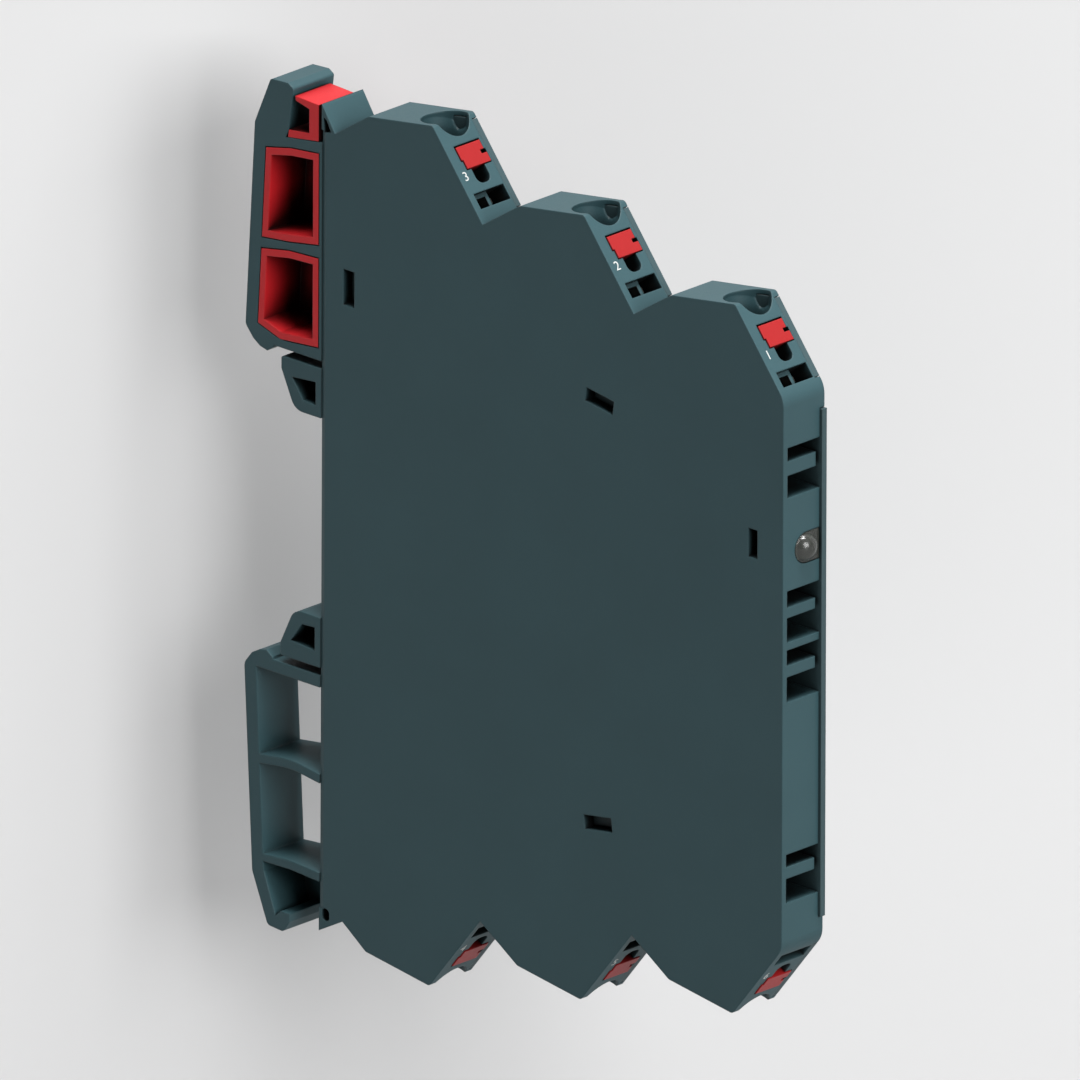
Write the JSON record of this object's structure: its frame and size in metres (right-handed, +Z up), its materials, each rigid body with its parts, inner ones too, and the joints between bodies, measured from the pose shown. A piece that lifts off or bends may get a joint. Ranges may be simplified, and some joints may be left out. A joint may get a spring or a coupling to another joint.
{
  "type": "signal conditioner",
  "caption": "Slim rail-mounted signal conditioner: stepped side-panel housing, push-button wire clamps, comb of front slots, light dome and a sprung red-lined rail foot.",
  "frame": {"origin": "centre of the plane where the rail's front face seats, at half the slim width and at the rail's centre line", "axes": "+X away from the rail towards the front, +Y across the slim width towards the side cover, +Z up along the tall side"},
  "size_m": [0.0788, 0.0062, 0.096],
  "materials": {
    "housing_plastic": "fine moulded texture, blue-grey",
    "red_plastic": "satin moulded red",
    "board_laminate": "solder mask",
    "ferrite": "sintered ferrite",
    "winding_wire": "enamelled copper wire",
    "lens_plastic": "clear moulded lens",
    "led_body": "moulded",
    "chip_plastic": "moulded epoxy",
    "capacitor_resin": "moulded resin",
    "ceramic_chip": "glazed ceramic",
    "spring_steel": "stainless strip",
    "tinned_copper": "tin plated"
  },
  "bodies": {
    "housing": {"housing_shell": "housing_plastic", "side_cover": "housing_plastic", "rail_foot_insert": "red_plastic", "circuit_board": "board_laminate", "transformer_core": "ferrite", "transformer_winding": "winding_wire", "led_lens": "lens_plastic", "status_led": "led_body", "microcontroller": "chip_plastic", "input_amplifier": "chip_plastic", "output_driver": "chip_plastic", "isolator_upper": "chip_plastic", "isolator_lower": "chip_plastic", "power_choke": "ferrite", "tantalum_capacitors": "capacitor_resin", "chip_resistors": "ceramic_chip", "surge_diodes": "chip_plastic", "clamp_spring_top_1": "spring_steel", "current_bar_top_1": "tinned_copper", "clamp_spring_top_2": "spring_steel", "current_bar_top_2": "tinned_copper", "clamp_spring_top_3": "spring_steel", "current_bar_top_3": "tinned_copper", "clamp_spring_bottom_1": "spring_steel", "current_bar_bottom_1": "tinned_copper", "clamp_spring_bottom_2": "spring_steel", "current_bar_bottom_2": "tinned_copper", "clamp_spring_bottom_3": "spring_steel", "current_bar_bottom_3": "tinned_copper"},
    "pusher_top_1_button": {"pusher_top_1": "red_plastic"},
    "pusher_top_2_button": {"pusher_top_2": "red_plastic"},
    "pusher_top_3_button": {"pusher_top_3": "red_plastic"},
    "pusher_bottom_1_button": {"pusher_bottom_1": "red_plastic"},
    "pusher_bottom_2_button": {"pusher_bottom_2": "red_plastic"},
    "pusher_bottom_3_button": {"pusher_bottom_3": "red_plastic"}
  },
  "joints": [
    {"name": "pusher_top_1_slide", "type": "slide", "parent": "housing", "child": "pusher_top_1_button", "axis": [-0.7815, 0, -0.6239], "range_m": [0, 0.0015], "stiffness_N_per_m": 60, "springref_m": -0.002},
    {"name": "pusher_top_2_slide", "type": "slide", "parent": "housing", "child": "pusher_top_2_button", "axis": [-0.7815, 0, -0.6239], "range_m": [0, 0.0015], "stiffness_N_per_m": 60, "springref_m": -0.002},
    {"name": "pusher_top_3_slide", "type": "slide", "parent": "housing", "child": "pusher_top_3_button", "axis": [-0.7815, 0, -0.6239], "range_m": [0, 0.0015], "stiffness_N_per_m": 60, "springref_m": -0.002},
    {"name": "pusher_bottom_1_slide", "type": "slide", "parent": "housing", "child": "pusher_bottom_1_button", "axis": [-0.7815, 0, 0.6239], "range_m": [0, 0.0015], "stiffness_N_per_m": 60, "springref_m": -0.002},
    {"name": "pusher_bottom_2_slide", "type": "slide", "parent": "housing", "child": "pusher_bottom_2_button", "axis": [-0.7815, 0, 0.6239], "range_m": [0, 0.0015], "stiffness_N_per_m": 60, "springref_m": -0.002},
    {"name": "pusher_bottom_3_slide", "type": "slide", "parent": "housing", "child": "pusher_bottom_3_button", "axis": [-0.7815, 0, 0.6239], "range_m": [0, 0.0015], "stiffness_N_per_m": 60, "springref_m": -0.002}
  ]
}
